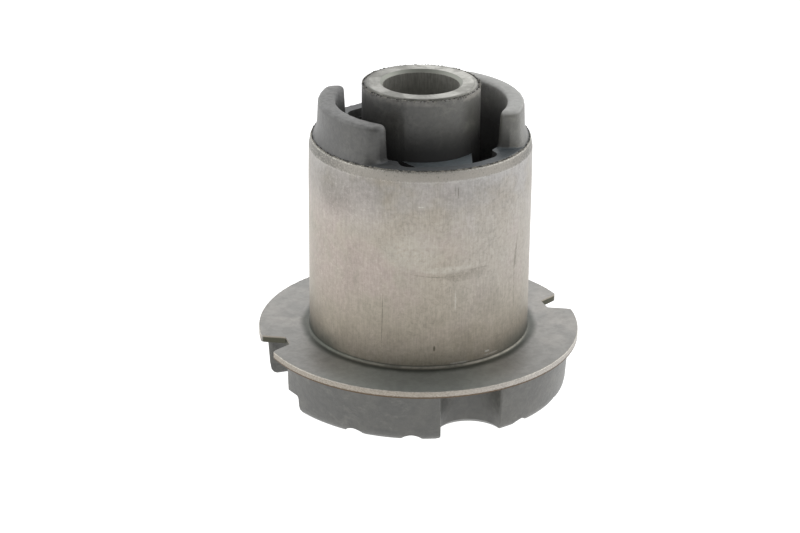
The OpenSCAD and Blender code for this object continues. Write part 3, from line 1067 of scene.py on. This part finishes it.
@dataclass
class OuterSleeve:
    """The drawn sleeve with its rolled flange, in millimetres."""

    lathe: LatheTree
    radius: float = 31.0
    wall: float = 2.0
    top: float = 74.9
    lead_in: float = 0.5
    lead_height: float = 2.6
    lead_round: float = 0.55
    run_out: float = 9.0
    flange_top: float = 18.0
    flange_radius: float = 45.4
    flange_wall: float = 2.0
    foot_round: float = 0.8
    edge_round: float = 0.18
    notch_depth: float = 6.4
    notch_half_floor: float = 2.5
    notch_half_mouth: float = 5.6
    notch_floor_round: float = 1.0
    notch_mouth_round: float = 2.6
    blank: float = 38.0
    segments: float = 480.0
    crowding: float = 0.45
    smooth: float = 40.0
    finish: DrawnSteel = DrawnSteel()

    def section(self) -> Section:
        """Half section of the sleeve.

        Returns:
            Radius and height of each corner.
        """
        inside, under = self.radius - self.wall, self.flange_top - self.flange_wall
        bend = self.foot_round + self.wall
        upper, foot = self.radius - self.lead_in, self.radius + self.foot_round
        edge = self.flange_radius - self.edge_round
        return [
            (inside, self.top),
            (inside, under + bend),
            *arc((inside + bend, under + bend), bend, 180, 270, 8)[1:],
            (self.blank, under),
            *arc((edge, under + self.edge_round), self.edge_round, 270, 360, 3),
            *arc((edge, self.flange_top - self.edge_round), self.edge_round, 0, 90, 3),
            (self.blank, self.flange_top),
            *arc((foot, self.flange_top + self.foot_round), self.foot_round, 270, 180, 8),
            (self.radius, self.top - self.lead_height - self.run_out),
            (self.radius - self.lead_in / 4, self.top - self.lead_height),
            *arc((upper - self.lead_round, self.top - self.lead_round), self.lead_round, 0, 90, 6),
        ]

    def build(self) -> Object:
        """Makes the sleeve in place of its solid.

        Returns:
            The dressed sleeve.
        """
        values = metres(
            Outer_Radius=self.flange_radius,
            Notch_Floor=self.flange_radius - self.notch_depth,
            Notch_Half_Floor=self.notch_half_floor,
            Notch_Half_Mouth=self.notch_half_mouth,
            Floor_Rounding=self.notch_floor_round,
            Mouth_Rounding=self.notch_mouth_round,
        )
        values |= {"Segments": self.segments, "Crowding": self.crowding, "Material": self.finish.build()}
        piece = self.lathe.apply("drawn_sleeve", section_mesh("sleeve_section", self.section()), values)
        soften(piece, self.smooth)
        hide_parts("outer_sleeve")
        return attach(piece, BODY)


@dataclass
class InnerSleeve:
    """The turned inner sleeve, in millimetres."""

    lathe: LatheTree
    radius: float = 15.3
    bore: float = 10.5
    length: float = 90.0
    chamfer: float = 0.85
    edge: float = 0.3
    segments: float = 240.0
    smooth: float = 25.0
    finish: TurnedSteel = TurnedSteel()

    def section(self) -> Section:
        """Half section of the tube.

        Returns:
            Radius and height of each corner.
        """
        return [
            (self.bore, self.chamfer),
            (self.bore + self.chamfer, 0.0),
            (self.radius - self.edge, 0.0),
            (self.radius, self.edge),
            (self.radius, self.length - self.edge),
            (self.radius - self.edge, self.length),
            (self.bore + self.chamfer, self.length),
            (self.bore, self.length - self.chamfer),
        ]

    def build(self) -> Object:
        """Makes the tube in place of its solid.

        Returns:
            The dressed tube.
        """
        values = {"Segments": self.segments, "Material": self.finish.build()}
        piece = self.lathe.apply("turned_tube", section_mesh("tube_section", self.section()), values)
        soften(piece, self.smooth)
        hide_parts("inner_sleeve")
        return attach(piece, BODY)


@dataclass
class MouldedBody:
    """The one moulding of horns, stops, webs, lining and bumper."""

    node: Object
    weld: float = 2e-6
    smooth: float = 32.0
    finish: MouldedRubber = MouldedRubber()

    def build(self) -> Object:
        """Copies the solid's mesh, welds it and smooths its shading.

        Returns:
            The dressed moulding.
        """
        mesh = self.node.data.copy()
        mesh.name = "moulding"
        mesh.materials.clear()
        mesh.materials.append(self.finish.build())
        piece = add_object("moulding", mesh)
        soften(piece, self.smooth, self.weld)
        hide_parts("rubber_body")
        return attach(piece, BODY)


class EdgeKind(Enum):
    """What a ragged edge is made of, by the record's material slot."""

    FLASH = "rubber"
    BURR = "sleeve_steel"


@dataclass(frozen=True)
class RaggedEdge:
    """One torn ring along a round edge, in millimetres."""

    name: str
    kind: EdgeKind
    radius: float
    height: float
    thickness: float
    wander: float
    tears: float
    fineness: float
    seed: float
    gap: float = -1000.0
    sides: int = 6
    segments: float = 900.0
    smooth: float = 60.0

    def build(self, ring: RaggedRingTree, finish: Material) -> Object:
        """Sweeps the ring.

        Args:
            ring: The tree that sweeps it.
            finish: Its material.

        Returns:
            The ring.
        """
        values = metres(
            Radius=self.radius, Height=self.height, Thickness=self.thickness, Wander=self.wander, Gap=self.gap
        )
        values |= {"Segments": self.segments, "Tears": self.tears, "Fineness": self.fineness}
        values |= {"Seed": self.seed, "Material": finish}
        unit_section = arc((0.0, 0.0), 1 / MM, 0, 360, self.sides)[:-1]
        piece = ring.apply(self.name, section_mesh(self.name + "_section", unit_section), values)
        soften(piece, self.smooth)
        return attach(piece, BODY)


RAGGED_EDGES = (
    RaggedEdge("tube_flash", EdgeKind.FLASH, 15.9, 89.4, 0.6, 0.5, 0.75, 30.0, 3.0),
    RaggedEdge("rim_flash", EdgeKind.FLASH, 30.0, 75.02, 0.34, 0.34, 0.8, 44.0, 5.0),
    RaggedEdge("sleeve_burr", EdgeKind.BURR, 30.15, 74.86, 0.06, 0.08, 1.0, 90.0, 8.0),
    RaggedEdge("flange_burr", EdgeKind.BURR, 45.26, 17.98, 0.10, 0.14, 1.0, 130.0, 11.0, 7.4),
)


@dataclass(frozen=True)
class Lamp:
    """One soft area light."""

    name: str
    place: Point
    size: tuple[float, float]
    power: float

    def build(self, target: Vector) -> None:
        """Makes the light.

        Args:
            target: The point that it faces.
        """
        data = bpy.data.lights.new(self.name, "AREA")
        data.shape = "RECTANGLE"
        data.size, data.size_y = self.size
        data.energy = self.power
        lamp = add_object(self.name, data)
        lamp.location = self.place
        lamp.rotation_euler = (target - Vector(self.place)).to_track_quat("-Z", "Y").to_euler()


@dataclass
class Studio:
    """Floor, lights and camera."""

    lens: float = 100.557
    sensor: float = 36.0
    clip: tuple[float, float] = (0.01, 20.0)
    place: Point = (-0.2034, -0.5441, 0.2822)
    forward: Point = (0.31422, 0.86488, -0.39145)
    right: Point = (0.94102, -0.33825, 0.00804)
    surround: float = 1.25
    behind_camera: float = 0.5
    overhead: float = 0.85
    darkest: float = 0.2
    floor_half: float = 4.0
    middle: Point = (0.0, 0.0, 0.045)
    lamps: tuple[Lamp, ...] = (
        Lamp("left_soft", (-0.9, 0.2, 0.4), (0.8, 0.9), 1.5),
        Lamp("right_soft", (0.9, -0.1, 0.4), (0.8, 0.9), 1.5),
    )

    def build(self) -> None:
        """Makes the floor, the world, the lights and the camera."""
        scene = bpy.context.scene
        scene.view_settings.view_transform = "Standard"
        world = bpy.data.worlds.new("studio_air")
        world.use_nodes = True
        self._air(world.node_tree)
        scene.world = world
        half, mesh = self.floor_half, bpy.data.meshes.new("floor")
        corners = [(-half, -half, 0), (half, -half, 0), (half, half, 0), (-half, half, 0)]
        mesh.from_pydata(corners, [], [(0, 1, 2, 3)])
        mesh.materials.append(PaleFloor().build())
        floor = add_object("floor", mesh)
        for lamp in self.lamps:
            lamp.build(Vector(self.middle))
        self._camera()

    def _air(self, tree: NodeTree) -> None:
        """Makes the world bright round the bush, and darker behind the camera and overhead.

        Args:
            tree: The world's nodes.
        """
        maker = NodeMaker(tree)
        place = maker.node("ShaderNodeTexCoord").outputs["Generated"]
        strength = self.surround
        for direction, start, level in (
            (Vector((0.0, 0.0, 1.0)), 0.45, self.overhead),
            (Vector(self.place).normalized(), 0.2, self.behind_camera),
        ):
            towards = maker.value("ShaderNodeVectorMath", {"operation": "DOT_PRODUCT"}, place, direction)
            strength = strength + towards.ramp(start, 0.95) * (level - self.surround)
        background = next(n for n in tree.nodes if n.type == "BACKGROUND")
        background.inputs["Color"].default_value = (1.0, 1.0, 1.0, 1.0)
        maker.feed(background.inputs["Strength"], strength.most(self.darkest))

    def _camera(self) -> None:
        """Makes the camera at the photograph's viewpoint."""
        data = bpy.data.cameras.new("view")
        data.sensor_width, data.lens = self.sensor, self.lens
        data.clip_start, data.clip_end = self.clip
        forward = Vector(self.forward).normalized()
        right = Vector(self.right)
        right = (right - forward * right.dot(forward)).normalized()
        up = right.cross(forward)
        turn = Matrix((right, up, -forward)).transposed().to_4x4()
        camera = add_object("view", data)
        camera.matrix_world = Matrix.Translation(Vector(self.place)) @ turn
        bpy.context.scene.camera = camera


def main() -> None:
    """Builds the bush and its studio."""
    logging.basicConfig(level=logging.INFO, format="%(name)s: %(message)s")
    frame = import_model()
    lathe, ring = LatheTree(), RaggedRingTree()
    finishes = {EdgeKind.FLASH: FLASH.build(), EdgeKind.BURR: BURR.build()}
    pieces = [
        OuterSleeve(lathe).build(),
        InnerSleeve(lathe).build(),
        MouldedBody(frame["nodes"]["rubber_body"]).build(),
        *(edge.build(ring, finishes[edge.kind]) for edge in RAGGED_EDGES),
    ]
    for piece in pieces:
        LOG.info("%s: %d faces", piece.name, len(piece.data.polygons))
    Studio().build()


if __name__ == "__main__":
    main()
